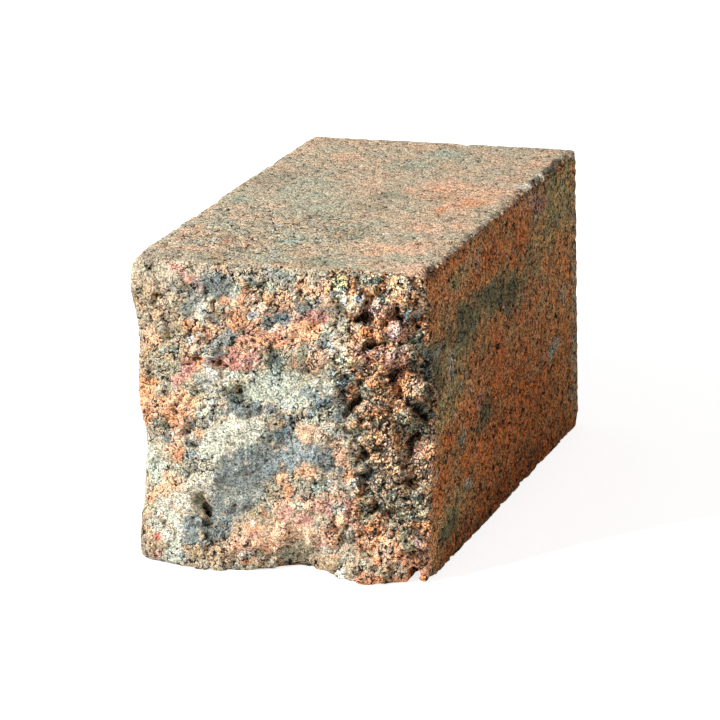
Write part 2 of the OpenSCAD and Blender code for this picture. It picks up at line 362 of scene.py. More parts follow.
def scattered(ground, outward, weights, sizes, subdivisions, dent):
    """Centres, radii, points and faces of lumps strewn over the firm and the loose part of the ground."""
    points, faces = ball(subdivisions)
    centres, radii, point_sets = [], [], []
    for radius, *counts in sizes:
        for weight, count, proud in zip(weights, counts, PROUD):
            chosen = rng.choice(len(ground), count, replace=False, p=weight / weight.sum())
            r = radius * rng.uniform(*SIZE_SPREAD, count)
            centre = ground[chosen] + (rng.uniform(*proud, count) * r)[:, None] * outward[chosen]
            stretch = rng.uniform(*STRETCH, (count, 1, 3))
            dents = 1 + dent * rng.standard_normal((count, len(points), 1))
            turn = np.linalg.qr(rng.standard_normal((count, 3, 3)))[0]
            shape = np.einsum("gij,gvj->gvi", turn, points[None] * dents * stretch)
            point_sets.append(centre[:, None] + r[:, None, None] * shape)
            centres.append(centre)
            radii.append(r)
    point_sets = np.concatenate(point_sets)
    starts = len(points) * np.arange(len(point_sets))
    all_faces = (faces[None] + starts[:, None, None]).reshape(-1, 3)
    return np.concatenate(centres), np.concatenate(radii), point_sets, all_faces


ground = np.flatnonzero(split > 0.25)
loose = looseness(P[ground])
from_arris = HALF_W - np.abs(P[ground, 0])
open_place = fade(1 - hollowness(P[ground]) / 0.8) * fade((from_arris - 2) / 3)
clod_centres, clod_radii, clod_points, clod_faces = scattered(
    P[ground], N[ground], (split[ground] * (1 - loose) * open_place, split[ground] * loose * open_place),
    CLOD_SIZES, 3, CLOD_DENT)
out = clod_points - clod_centres[:, None]
out /= np.linalg.norm(out, axis=2)[..., None]
clod_points, out = clod_points.reshape(-1, 3), out.reshape(-1, 3)
clod_loose = looseness(clod_points) * fade(-out[:, 1] / 0.3 + 0.5)
grain_centres, grain_radii, grain_points, grain_faces = scattered(
    np.concatenate([P[ground], clod_points]), np.concatenate([N[ground], out]),
    (np.concatenate([split[ground] * (1 - loose), np.zeros(len(clod_points))]),
     np.concatenate([split[ground] * loose, 1.6 * clod_loose])), GRAIN_SIZES, 2, GRAIN_DENT)


def kept_inside(points):
    """Points held behind the proudest lump, above the bed and under the top."""
    points[:, 1] = np.maximum(points[:, 1], -HALF_D)
    points[:, 2] = np.clip(points[:, 2], 0, HEIGHT)
    return points


lump_points = kept_inside(np.concatenate([clod_points, grain_points.reshape(-1, 3)]))
lump_faces = np.concatenate([clod_faces, grain_faces + len(clod_points)])
skin = remeshed(joined(skin, mesh_from("lumps", lump_points, lump_faces)), FINE_MM)
skin = modified(skin, "SMOOTH", factor=0.5, iterations=1)
P, N = vertices(skin), normals(skin)
split = split_share(P, N)
on_split = split > 0.001
lift = np.zeros(len(P))

# Last the fine relief: sand and pores on the split face.
SAND_RELIEF, PORE_DEPTH = 0.14, 0.45
places = P[on_split]
*_, pore = crumbs(places, 1.1, 13, 0.06)
lift[on_split] = split[on_split] * (SAND_RELIEF * fractal(places, 1.6, 2, 22) - PORE_DEPTH * pore)


# ---------------------------------------------------------------- the moulded faces

# They are pressed flat, with pits between the grains and ragged arrises. The one between the top and
# the right face has chips: place along Y, reach and depth.
CHIPS = [(44, 5, 2.0), (57, 5, 1.6), (68, 7, 1.8), (27, 4, 1.6), (19, 2, 1.0), (-4, 3, 0.9),
         (-71, 4, 1.9), (-30, 3, 0.7)]
ARRIS_REACH = 3.0        # how far in from an arris the raggedness goes
ARRIS_WEAR = ((0.7, 4.5, 3, 24), (0.5, 1.8, 2, 25))      # depth, size, octaves and seed of its noise
PIT_DEPTH = 0.55
NEVER_NEAR = 99          # stands in for the distance to the back on the split face

moulded = np.flatnonzero(split < 0.999)
places = P[moulded]
share = 1 - split[moulded]
to_side = HALF_W - np.abs(places[:, 0])
to_flat = np.minimum(places[:, 2], HEIGHT - places[:, 2])
to_back = np.where(share < 0.5, NEVER_NEAR, HALF_D - places[:, 1])
nearest_two = np.sort(np.stack([to_side, to_flat, to_back], -1), axis=1)
arris = fade(1 - nearest_two[:, 1] / ARRIS_REACH) * share
height, dome, gap, empty = crumbs(places, 2.2, 15, 0.16)
# Where pits lie on the moulded faces; they are painted dark as shade further down.
pit_shade_mask = np.zeros(len(P))
pit_shade_mask[moulded] = empty * share

near_arris = arris > 0
edge = places[near_arris]
chipped = fade((edge[:, 0] - 40) / 4) * fade((edge[:, 2] - HEIGHT + 10) / 4)
bitten = np.zeros(len(edge))
for along, reach, depth in CHIPS:
    bitten += depth * fade(1.3 - np.abs(edge[:, 1] - along) / reach)
in_chip = 0.1 + 0.9 * fractal(edge, 6, 3, 26) + bitten * (1 + 1.1 * fractal(edge, 2.2, 2, 27))
ragged = np.zeros(len(places))
worn = sum(depth * fractal(edge, *noise) for depth, *noise in ARRIS_WEAR)
ragged[near_arris] = arris[near_arris] * (worn + chipped * in_chip)
# Painted shadow: dark slits in the chips of the top right arris, under their broken edges.
slit_shadow_mask = np.zeros(len(P))
slit_shadow_mask[moulded[near_arris]] = bitten * chipped * fade(
    0.5 + 3.0 * fractal(edge * np.array([1, 2.2, 0.8]), 2.4, 3, 28))
pressed = -0.10 + 0.07 * height + 0.05 * dome - 0.06 * gap - PIT_DEPTH * empty - np.maximum(ragged, 0)
lift[moulded] += share * np.minimum(pressed, 0.0)

moved = kept_inside(P + lift[:, None] * N)
move_to(skin, moved)


def sunk(mesh, iterations):
    """How far each point lies under the surface once that is smoothed, in millimetres."""
    smoothed = modified(mesh, "SMOOTH", factor=0.9, iterations=iterations)
    return ((vertices(smoothed) - vertices(mesh)) * N).sum(1)


# How deep each point lies among its neighbours, close by and over a few millimetres: rounds of
# smoothing, weight, and the depth that counts as one.
CREVICES = ((8, 0.9, 0.25), (70, 1.0, 1.2))
crevice = sum(weight * sunk(skin, rounds) / depth for rounds, weight, depth in CREVICES)


# ---------------------------------------------------------------- colour

def linear(rgb):
    """An 8-bit sRGB colour as linear light."""
    c = np.array(rgb, float) / 255
    return np.where(c <= 0.04045, c / 12.92, ((c + 0.055) / 1.055) ** 2.4)


# The colours of the mix, as 8-bit sRGB.
MIX = {
    "tan": (184, 161, 131), "beige": (180, 167, 143), "cream": (200, 200, 180), "pale": (208, 202, 182),
    "white": (224, 221, 210), "mint": (184, 189, 170), "grey": (150, 153, 141), "slate": (123, 130, 125),
    "blue_grey": (137, 148, 147), "charcoal": (92, 96, 87), "moss": (136, 134, 110),
    "olive": (170, 160, 134), "peach": (224, 184, 152), "apricot": (228, 180, 143),
    "orange": (222, 165, 126), "rust": (202, 140, 102), "brown": (164, 120, 90), "rose": (212, 162, 144),
    "brick": (196, 138, 120), "red": (190, 112, 98), "yellow": (242, 220, 158), "sage": (187, 180, 155),
    "crumb": (222, 156, 114), "soil": (190, 164, 134), "bark": (124, 112, 80), "dim": (142, 134, 110),
    "sand": (196, 178, 151), "russet": (206, 140, 88), "sienna": (212, 128, 70), "khaki": (188, 158, 106),
    "umber": (186, 112, 60),
}

# Patches of the mix on the split face: colour, centre along X and Z, reach along X and Z, and a turn in
# degrees for those that are turned. Later patches lie over earlier ones.
FRONT_PATCHES = [
    # left column and the band under the top
    ("tan", -41, 77, 12, 22), ("beige", 0, 97, 50, 4), ("beige", -33, 88, 9, 7), ("olive", -36, 73, 6, 5),
    ("beige", -42.5, 97, 3.8, 3.2), ("rose", -33, 97.3, 3, 1.4), ("rose", -29.5, 94.8, 2.2, 1.8),
    ("rose", -26, 92.5, 1.6, 1.7), ("grey", -33, 91, 2.6, 2.4), ("tan", -42, 88, 5, 2.4, 20),
    ("peach", -43, 74, 4, 3), ("olive", -38, 63, 6, 5), ("beige", -38, 56.5, 3.4, 2.6),
    ("peach", -28, 81.5, 3, 1.4),
    # grey belt under the top, left of the middle
    ("slate", -20, 92.5, 6, 4.2), ("grey", -15, 87.5, 3, 3.4), ("mint", -14, 91, 3.2, 1.9),
    ("moss", -7, 91, 4.4, 3.4), ("slate", -6, 94, 3, 0.9, -8), ("white", -7, 95.4, 2.6, 0.6, -5),
    ("cream", -23.5, 89, 2.6, 2.2), ("pale", -23.7, 85.4, 2.7, 2.5), ("grey", -29, 85, 3, 3),
    ("pale", -24, 82, 4.6, 1.9, 10), ("mint", -26.5, 79.3, 2, 2.8, 20), ("rose", -21.6, 81.4, 1.6, 1.3),
    ("grey", 4, 96.3, 5, 2.6), ("cream", 5.4, 91.2, 1.9, 2.3), ("mint", -1.2, 93.5, 2, 1.8),
    # orange and rose belt
    ("peach", -3, 84, 11, 7), ("apricot", -10.3, 86.2, 3.6, 3), ("apricot", -10, 89.5, 1.3, 2.6),
    ("orange", -17, 88, 1.7, 1.6), ("orange", 0, 87, 2.6, 2.7), ("apricot", 3, 89.5, 2.6, 2.2),
    ("orange", -15.6, 80.3, 3, 3.6), ("orange", -10.5, 81.5, 5, 2.4), ("apricot", -21, 77.6, 3.4, 1.3, 20),
    ("orange", -28.5, 78.4, 2.9, 1.7), ("rust", -24.3, 75.4, 2.7, 2.4, 20), ("peach", -29, 72.4, 2.8, 2.4),
    ("rose", -10.3, 73.2, 5.4, 4), ("peach", -11.6, 72.6, 2.6, 2.4), ("orange", -4, 75.3, 4.6, 3.4),
    ("rose", -6, 78, 3, 1.2), ("rose", -23, 68.4, 4.2, 2.7), ("cream", -21, 70.8, 4.4, 2, 15),
    ("brick", -14.5, 69, 6, 3.2), ("brick", -17, 66.6, 4.4, 1.7, -8), ("rose", -15.6, 68.5, 3, 1.7),
    ("rose", -8, 68, 3.4, 2.6), ("rust", -29.5, 67.6, 4, 2.3), ("orange", -26.5, 66.3, 2, 1.6),
    ("brick", -31, 64, 3, 3), ("rose", -33, 60.5, 3, 3.6, -20), ("orange", -37, 51.5, 6, 4.4),
    ("apricot", -32, 53, 3, 5.4), ("orange", -46.3, 62, 2.4, 2), ("orange", -45.3, 55.5, 3.2, 6),
    ("apricot", -44.5, 50.5, 5, 3.4),
    # stones and grey grains in the belt
    ("white", -7, 84.3, 1.9, 1.2, 20), ("slate", -3.4, 81.2, 2.4, 2.1), ("white", -6.3, 79.3, 1.2, 0.9),
    ("slate", 2, 83.6, 2.6, 1.8, 30), ("white", -1.3, 79.4, 1.8, 0.9, 10), ("pale", 3, 80.4, 2.6, 0.9, -5),
    ("white", -29, 75.2, 1.3, 0.7), ("slate", -17.3, 74.6, 4.2, 1.9, 12),
    ("blue_grey", -21.6, 72.6, 3.1, 1.5, 18), ("moss", -0.8, 68.6, 3.8, 4.4),
    ("charcoal", -0.8, 69.5, 2, 2.2), ("charcoal", 5.2, 71.8, 2.6, 2.1), ("moss", 8.8, 71.8, 3.2, 2.6),
    ("olive", 4, 67, 3, 2.6), ("moss", 8.4, 68.2, 2.2, 2.6), ("orange", 5.6, 68.8, 1.2, 2),
    ("slate", 8.6, 88, 3.1, 2.4), ("slate", 13.2, 89.5, 1.4, 1), ("brown", 8.3, 92.6, 1.3, 2.5),
    ("apricot", 9, 96.5, 1.7, 1.8), ("peach", 14, 93, 5.4, 3), ("cream", 22, 91.8, 4.6, 2.8),
    ("peach", 17, 90, 3, 2), ("blue_grey", 18.5, 93, 1.3, 1.1), ("apricot", 18.6, 96.4, 2.2, 2.2),
    ("yellow", 22, 96.6, 2.1, 1.7), ("yellow", 19.8, 95.2, 1.5, 1.1), ("white", 26.4, 94.6, 1, 1.6),
    ("brick", 12.6, 85.2, 3.2, 2.4, 10), ("rose", 15.6, 83.5, 2.3, 2.6), ("brick", 8, 82.9, 2.6, 2.2),
    ("orange", 11.6, 80.5, 4.4, 2.7), ("apricot", 7, 77.4, 5.4, 3.1, 20), ("rose", 1.2, 76.6, 2.9, 3.2),
    ("cream", 17.2, 79.6, 2.9, 2), ("white", 18.7, 76.6, 1.9, 1.6), ("slate", 15, 75.5, 2.2, 1.5, 20),
    ("blue_grey", 18, 74.4, 1.3, 0.9), ("olive", 21.8, 84, 2.8, 2), ("white", 11.3, 73.4, 1.3, 0.9),
    ("peach", 16, 72.6, 3, 1.7), ("apricot", 12.2, 70, 2.4, 3.4, -10), ("cream", 20.4, 70.4, 4.2, 4.6),
    ("moss", 16.6, 69.3, 2.4, 1.4), ("cream", 24, 67, 3.4, 2),
    # pale arch over the swell, and the grey grains in it
    ("mint", -1, 60.5, 16, 5.4), ("cream", -14, 62.4, 6, 2.5, 15), ("white", -22.6, 63, 2.9, 1.9, -10),
    ("grey", -26, 59.6, 3, 3), ("olive", -29.6, 58.4, 2.6, 2.6), ("cream", -20.5, 57.2, 4.4, 2.6, 20),
    ("pale", -22.6, 54.8, 4, 2, 12), ("moss", -13.6, 58.4, 4, 2.2),
    ("charcoal", -14.6, 55.6, 3.4, 1.6, -10), ("mint", -9, 57.6, 3, 3.4), ("slate", -8, 53.2, 7, 2.4),
    ("grey", -20, 51.8, 4, 2.2), ("cream", -25.8, 50.8, 2.4, 2), ("mint", 6, 61, 6.4, 4),
    ("olive", 10.5, 64.2, 4, 1.3, 15), ("slate", 14.5, 62, 2.6, 2, 10), ("cream", 17.6, 61.8, 5.6, 4.2),
    ("blue_grey", 22, 62, 3.2, 3.2), ("charcoal", 25.2, 61.6, 3.6, 4.8), ("grey", 14, 56.4, 7, 4.6),
    ("blue_grey", 12, 57.5, 4.4, 2.6), ("mint", 5, 56, 5.4, 2.7), ("white", 1.8, 53.6, 1.7, 0.8),
    ("slate", 2.5, 51.6, 3.6, 1.6), ("orange", 13.7, 59, 0.9, 0.7), ("mint", 12, 51.6, 5, 1.7),
    ("charcoal", 4.4, 49.4, 1.7, 2), ("slate", 19.6, 52.6, 3, 3),
    # cream band down the left side of the swell
    ("cream", -12.6, 46.6, 7.4, 3.5, 5), ("pale", -13.5, 47.6, 4.6, 2, 10),
    ("cream", -19, 43.6, 5.4, 3.8, 30), ("cream", -23.2, 39.5, 4.6, 4.4), ("cream", -24.6, 34, 3.6, 5, -15),
    ("cream", -28.4, 26.6, 4.8, 3.8, 35), ("mint", -32, 22, 4.4, 3.2, 20), ("white", -23.6, 24, 1.4, 1.7),
    ("peach", -28.6, 29, 2.2, 1.3, 30), ("apricot", -27, 43.6, 1.6, 1.6),
    # the slate heart of the swell
    ("slate", -8.5, 36, 10, 7.4, 25), ("slate", -14, 27, 9.4, 8), ("slate", -19, 17, 6.6, 8),
    ("charcoal", -2.6, 44.6, 4.2, 2.7), ("slate", 3, 44.6, 4.4, 4.2), ("blue_grey", 4, 38, 5.4, 4.8),
    ("blue_grey", 12, 40, 4.2, 4.2), ("slate", 16.3, 37, 3.2, 3.2), ("charcoal", 17.4, 38.4, 1.2, 1.8),
    ("blue_grey", -4, 33.6, 3.2, 2.4), ("blue_grey", -18.8, 34, 3, 2.6), ("grey", -9, 23.6, 4.4, 3.2),
    ("grey", -17, 22.4, 3.6, 3), ("olive", -8, 19.5, 3, 1.7, 20), ("charcoal", -15, 31, 1.6, 1.1),
    ("slate", -21.4, 14.6, 6.4, 6.4), ("slate", -20, 9.6, 5.4, 3, 10), ("cream", -12, 43, 7.4, 2.4, 18),
    ("slate", -31.4, 12.6, 3.6, 4), ("blue_grey", -32, 10.2, 2.8, 1.9), ("slate", -31.4, 6, 3.6, 4),
    ("blue_grey", -35.6, 2.6, 2.8, 1.6, 15), ("charcoal", -26.4, 9.4, 2.2, 2.5),
    ("slate", -21.6, 10.6, 4.4, 2.6), ("blue_grey", -19, 13, 3, 1.5),
    # patches between the cream band and the left arris
    ("orange", -46.2, 47.6, 2.5, 3.4), ("orange", -36.4, 46.8, 3.8, 4.4), ("moss", -41, 45.4, 2.6, 2.6),
    ("slate", -38.8, 41.4, 2.1, 1.7), ("beige", -44, 42, 3.2, 3.2), ("peach", -35.6, 42, 2.8, 2.4),
    ("slate", -30.2, 41.3, 3, 3.3), ("pale", -30.4, 42, 1.2, 1), ("blue_grey", -29.6, 36.4, 2.3, 2.2),
    ("apricot", -35.6, 36.4, 2.8, 2.8), ("rust", -34.2, 37, 1.2, 1.8), ("grey", -29.4, 32.4, 2.6, 2.5),
    ("olive", -34.4, 31, 4, 2.6), ("mint", -43, 33, 4.4, 5.6), ("blue_grey", -46.5, 34.4, 1.1, 1.6),
    ("mint", -42, 27, 3.4, 3), ("peach", -38, 27.4, 2.8, 1.9), ("apricot", -35.4, 25, 3.6, 2.2, 10),
    ("apricot", -42, 23, 4.4, 1.8, 28), ("orange", -45.6, 19.4, 2, 2.6), ("cream", -40, 16.6, 5.4, 3.6),
    ("cream", -41.5, 10.6, 5.6, 3.8), ("cream", -37.2, 5.8, 3.2, 4), ("red", -42.2, 7.8, 2, 1.1, 10),
    ("red", -40.3, 7.6, 0.7, 1.1), ("tan", -47.4, 10, 2.4, 6.4), ("tan", -45, 3.2, 5, 2.6),
    ("rose", -43.6, 1.6, 2, 1), ("mint", -38, 1, 2.6, 1.2), ("cream", -24.4, 35, 2.8, 5, -15),
    ("pale", -27, 28.6, 5.4, 3.2, 50), ("pale", -31.6, 22.8, 5.4, 3, 42), ("pale", -36, 18.6, 6, 3.2, 20),
    ("cream", -38.6, 12.6, 3.6, 5), ("slate", -25.6, 15, 3.2, 4.4), ("moss", -28.2, 20.4, 2, 2.8, -20),
    ("slate", -29.6, 16.4, 2, 2.6),
    # peach and pink foot
    ("tan", -7, 12, 12, 5.6, 12), ("peach", -4, 11, 8, 4, 12), ("tan", -24, 3, 11, 3),
    ("orange", -10.6, 13, 3.4, 2.2, 10), ("brown", -5.4, 18, 2.2, 2.4), ("peach", -16, 7.4, 7.4, 2.4, 5),
    ("apricot", -7, 7.6, 4.2, 1.9, 12), ("rose", -12, 10.4, 2.4, 1.2, 25), ("white", -15, 4.4, 1.1, 0.7),
    ("moss", -7.6, 4.4, 3.8, 1.7), ("peach", -1, 22, 4, 4), ("mint", -4.6, 20, 1.5, 2.1),
    ("olive", -3, 26.4, 3.2, 2.8), ("apricot", 0.4, 29.6, 2.6, 2.2), ("olive", 4.4, 29.4, 3.2, 2.8),
    ("orange", 1.8, 26, 1.7, 2), ("olive", 10, 30.4, 5, 2.8), ("apricot", 8.6, 33.6, 2.4, 1.3),
    ("white", 15.2, 31.8, 2, 1.7), ("mint", 12.2, 29, 1.7, 2.3), ("olive", 15.4, 28.2, 1.9, 1.9),
    ("blue_grey", 19.8, 28, 1.9, 1.9), ("peach", 9.6, 46.6, 4.4, 2.7), ("cream", 15.6, 48.4, 2.8, 2.1),
    ("grey", 19.6, 46.6, 2, 3.2), ("peach", 18.6, 42, 2.8, 3.4), ("peach", 20.4, 37.4, 2.6, 3.6),
    ("apricot", 22, 33.6, 2.4, 2.4), ("peach", 18, 24, 6, 4), ("apricot", 8, 23, 4, 2.4),
    ("pale", 5.4, 21.4, 1.9, 1.6), ("rose", 12.8, 21.6, 3, 2.8, 30), ("rose", 1.6, 19.4, 2.6, 2),
    ("tan", -4, 16, 3, 2.4), ("rose", 6.6, 16.6, 3.4, 2.2), ("cream", 18, 21, 3, 2.6),
    ("rose", 22.6, 21.6, 2.3, 4.4), ("apricot", 17, 18, 3, 1.6), ("peach", 5, 12.6, 6, 3),
    ("apricot", 15.6, 13.4, 3.6, 3.6), ("rose", 14.6, 9.8, 3.2, 1.9), ("olive", 5, 7, 6.4, 2.8),
    ("pale", 14.8, 7.2, 2.2, 1.2), ("orange", 16.6, 5.9, 1.1, 1.1), ("tan", 14, 3, 8, 2.4),
    ("moss", 2, 4.4, 4, 1.2), ("rust", 3.6, 1.4, 3.8, 1.2), ("rust", -12.6, 2.2, 2.4, 1),
]
# The same on the crumbly right third.
CRUMBLY_PATCHES = [
    ("crumb", 36, 80, 14, 16), ("russet", 29, 80, 5, 6), ("rust", 38, 80, 7, 7), ("apricot", 25, 80, 4, 12),
    ("peach", 43, 96.6, 8, 4.4), ("rose", 33, 88, 4, 2.6, 20), ("grey", 30, 97, 4, 2.4),
    ("moss", 33.4, 94.4, 1.6, 3), ("white", 28, 90.6, 2, 1.1, 10), ("pale", 31.4, 86.4, 0.9, 0.7),
    ("olive", 35.6, 90.6, 2.1, 1.9), ("rust", 39, 88, 2.2, 2.6), ("grey", 43.4, 87.4, 3.2, 2.8),
    ("grey", 46.6, 88.4, 1.7, 2), ("orange", 46, 95, 2.2, 3), ("rust", 29, 82.4, 3.6, 1.9),
    ("orange", 26, 76.6, 4, 2.2), ("rose", 28, 73.6, 3.6, 2.8), ("apricot", 24.6, 70.6, 2.6, 2.4),
    ("orange", 35, 78, 4, 1.6, 25), ("rose", 40, 82, 4, 4), ("rose", 38, 73, 4.4, 3.6),
    ("white", 30, 74.6, 1, 0.8), ("white", 43, 78.2, 0.8, 0.6), ("moss", 46.4, 78, 2.8, 4.6),
    ("rust", 32.6, 71.4, 1.6, 1.4), ("orange", 38, 68, 2.4, 1.6), ("charcoal", 46, 71.4, 3.4, 1.8),
    ("moss", 30, 67, 3.4, 1.7, 20), ("crumb", 34, 64, 6.4, 3.8), ("olive", 33.4, 61.4, 2, 1.2),
    ("white", 32.6, 58.6, 1.2, 0.8), ("orange", 37.6, 60.4, 3.2, 1.7, 20), ("peach", 45.4, 64.6, 2.6, 3),
    ("crumb", 41, 61, 4, 3), ("soil", 42, 50, 9, 6), ("dim", 44, 54, 6, 6), ("charcoal", 47, 57, 4, 5, 20),
    # The charcoal strip at X 49.5 is painted shade along the right arris.
    ("charcoal", 49.5, 70, 2.4, 10), ("dim", 30, 59, 4.4, 5.6), ("dim", 30, 49.6, 5.4, 5),
    ("dim", 27, 52, 3.6, 3.4), ("crumb", 29.6, 55, 2.4, 2), ("crumb", 41, 56.6, 2.6, 1.8),
    ("crumb", 37.6, 53.6, 1.8, 1.5), ("orange", 29.4, 50.8, 1, 0.9), ("white", 32.4, 56.4, 0.8, 0.8),
    ("soil", 37, 34, 15, 15), ("dim", 25, 43, 5, 7), ("dim", 38, 26, 10, 6), ("crumb", 34, 47, 4, 2.4),
    ("crumb", 30.6, 44.6, 2.8, 1.6), ("white", 27.4, 46.2, 1.2, 1), ("rose", 44.6, 42.4, 3, 2.4),
    ("crumb", 39.4, 37.6, 3.2, 2.2), ("crumb", 33, 39.6, 2.8, 1.4), ("charcoal", 29, 34.4, 3.8, 2.4),
    ("dim", 40, 17, 3, 5), ("white", 23.8, 31.2, 0.9, 1.2), ("white", 37, 29.6, 0.9, 0.9),
    ("olive", 44, 24, 5, 5), ("charcoal", 31, 23, 4, 2, 10), ("moss", 27, 21, 3, 3.4),
    ("orange", 25.8, 27.5, 1.9, 1.7), ("peach", 23.3, 27.4, 1.5, 1.6), ("orange", 31.3, 17.4, 2.1, 1.4),
    ("brown", 26, 13.4, 6, 3.4), ("rust", 27, 10, 5, 4), ("rust", 30, 14.4, 3.2, 2),
    ("orange", 33.4, 13.6, 1.6, 1.6), ("peach", 35, 8, 7, 5.4), ("tan", 26, 6.6, 5, 3.4),
    ("moss", 42, 12, 3.2, 2.6), ("rose", 46, 13.4, 1.9, 1.7), ("brown", 45.6, 8, 3, 2.6),
    ("rust", 39.6, 7.8, 1.8, 2.6), ("beige", 29, 3, 6, 1.9), ("rust", 29.6, 6.4, 1.9, 1.2, -30),
    ("tan", 36, 2.6, 5, 2.2),
]
# On the top and, in part, the bed, along X and Y.
TOP_PATCHES = [
    ("peach", -22, 72, 22, 14), ("sand", -22, 72, 18, 12), ("sage", 3, 68, 7, 11), ("sage", -5, 53, 8, 8),
    ("olive", -2, 51, 4, 4), ("peach", 34, 70, 10, 12), ("sand", 32, 72, 8, 8),
    ("peach", 29, 22, 14, 24, 8), ("tan", 23, 12, 6, 6), ("sand", 22, 42, 10, 10),
    ("peach", 20, 30, 5, 8, 10), ("apricot", 11.5, 20, 3.6, 3.4), ("apricot", 21, 21.5, 2.6, 3),
    ("apricot", 38, 12, 5, 9), ("orange", 29, -4, 2, 8, 5), ("orange", 36, 6, 3, 4),
    ("moss", 16.8, 20, 1.6, 2.6), ("peach", -5, 28, 4, 8, 10), ("sage", -30, 10, 20, 20),
    ("beige", -40, 26, 10, 14), ("sage", -12, -12, 9, 12, 10), ("sage", -16, 10, 8, 10),
    ("olive", 6, 12, 6, 7), ("olive", 4, -3, 6, 5), ("olive", 8, -38, 5, 7), ("sage", -4, -48, 9, 8),
    ("olive", -9, -20, 4, 5), ("brown", -27, -55, 3, 6, 10), ("peach", -34, -58, 8, 10),
    ("sand", -35, -58, 6, 8), ("peach", 30, -50, 10, 10), ("peach", 34, -24, 9, 7), ("sand", 24, -40, 8, 6),
    ("sage", 36, -62, 6, 4.6), ("olive", 10, -75, 11, 8), ("sage", 25, -79, 7, 5),
    ("olive", -22, -79, 5, 8), ("sage", -4, -68, 8, 6), ("beige", -43, -80, 7, 9),
    ("peach", 42, -76, 6, 10), ("sage", -36, 62, 4, 9),
]
# On the right and left faces, along Y and Z.
RIGHT_PATCHES = [
    ("sienna", 20, 26, 60, 18), ("khaki", 62, 84, 24, 16), ("russet", 58, 60, 26, 14),
    ("sienna", -14, 88, 16, 7), ("orange", -30, 92, 8, 2.4, -8), ("khaki", -46, 90, 8, 4),
    ("orange", 30, 96.6, 10, 2.6, -5), ("brick", 42, 92.6, 8, 1.9, -8), ("sienna", 22, 85, 10, 5),
    ("khaki", -15, 74, 50, 7.6, -4), ("bark", -30, 76, 46, 4), ("bark", 5, 70, 20, 4, -8),
    ("bark", -50, 70, 16, 6), ("khaki", -56, 60, 15, 10), ("bark", -72, 64, 9, 12), ("tan", -57, 64, 4, 5),
    ("olive", -71, 73, 3, 2.8), ("khaki", -66, 50, 8, 5), ("sienna", -62, 40, 6, 4),
    ("sienna", -73, 27, 9, 7), ("orange", -79, 24, 3, 1.7), ("orange", -75, 33, 3, 2.6),
    ("khaki", -60, 13, 17, 8), ("bark", -60, 10, 12, 5), ("orange", -38, 52, 3, 2.6),
    ("brick", -28, 44.5, 2.8, 1.9), ("bark", -21, 37, 8, 4), ("sienna", -8, 50, 10, 9),
    ("cream", -42, 20, 2.4, 1.2, -10), ("olive", -46, 37, 3, 2.4), ("tan", 55, 37, 8, 2.8),
    ("khaki", 45, 57, 6, 3), ("tan", 38, 88.6, 2.6, 2.2), ("tan", 70, 52, 3, 2), ("khaki", 79, 9, 6, 6),
    ("tan", 86, 40, 5, 40), ("umber", 15, 4, 85, 6), ("khaki", 8, 57, 3, 2),
]
LEFT_PATCHES = [
    ("beige", -56, 62, 26, 22), ("sage", -10, 30, 40, 14, 6), ("peach", 40, 72, 30, 18, -8),
    ("apricot", 40, 74, 14, 7), ("rust", 66, 22, 18, 16), ("sand", -40, 88, 30, 8), ("olive", 0, 34, 20, 6),
    ("peach", -30, 44, 10, 6, 20), ("sage", 74, 86, 14, 8), ("peach", -70, 26, 12, 9),
    ("olive", -60, 74, 9, 6), ("brown", 20, 14, 16, 4),
]
# On the back, along X and Z.
BACK_PATCHES = [
    ("russet", -20, 70, 24, 18), ("sienna", 24, 40, 18, 26), ("khaki", -30, 24, 20, 14, 10),
    ("khaki", 10, 84, 24, 8), ("bark", 8, 84, 14, 4), ("rust", 34, 12, 14, 10), ("rust", -6, 50, 12, 7),
    ("bark", -36, 22, 8, 5), ("sienna", 20, 62, 8, 4),
]


def patched(a, b, base, patches, softness, jitter):
    """Colour at places (a, b) of a face, with ragged edges to its patches."""
    colour = np.tile(linear(MIX[base]), (len(a), 1))
    for name, *oval in patches:
        inside = fade(0.5 + (1 - within(a, b, *oval) + jitter) / softness)
        colour += inside[:, None] * (linear(MIX[name]) - colour)
    return colour


def split_colours(p):
    """Colour of the mix at places on the split face."""
    jitter = 0.32 * fractal(p, 2.2, 3, 74)
    across, up = seen_from_front(p + 0.9 * drift(p, 4, 71))
    front = patched(across, up, "beige", FRONT_PATCHES, 0.35, jitter)
    loose = patched(across, up, "crumb", CRUMBLY_PATCHES, 0.4, jitter)
    to_loose = fade((across - CRUMBLY_COLOUR_X - 1.5 * jitter) / 2.5)[:, None]
    return front + to_loose * (loose - front)


def side_colour(p, axes, base, patches):
    """Colour of the mix on a moulded side, whose patches are placed along two axes."""
    small = cells(p, 1.3, 32)[2]
    wander = small[:, axes] + 1.3 * np.stack([fractal(small, 6, 2, 71), fractal(small, 6, 2, 72)], -1)
    jitter = 0.55 * fractal(small, 2.6, 2, 74)
    warm = 0.17 * fractal(small, 6, 4, 77)[:, None] * np.array([1, 0.0, -0.35])
    return patched(wander[:, 0], wander[:, 1], base, patches, 1.1, jitter) * (1 + warm)


# Each grain of the split face has one colour: that of the mix there, or now and then its own.
GRAIN_COLOURS = ["cream", "grey", "peach", "white", "charcoal", "rose", "mint", "orange"]
OWN_SHARE, OWN_STRENGTH = 0.08, (0.2, 0.6)
GRAIN_LIGHT, CLOD_LIGHT = (0.84, 1.16), (0.9, 1.1)       # how much lighter or darker than the mix
grain_colour = split_colours(grain_centres + rng.uniform(-1.3, 1.3, grain_centres.shape))
own = rng.choice(len(GRAIN_COLOURS), len(grain_centres))
own_colour = linear(np.array([MIX[name] for name in GRAIN_COLOURS]))[own]
strange = (rng.uniform(0, 1, len(own)) < OWN_SHARE)[:, None] * rng.uniform(*OWN_STRENGTH, (len(own), 1))
grain_colour += strange * (own_colour - grain_colour)
grain_colour *= rng.uniform(*GRAIN_LIGHT, (len(own), 1))


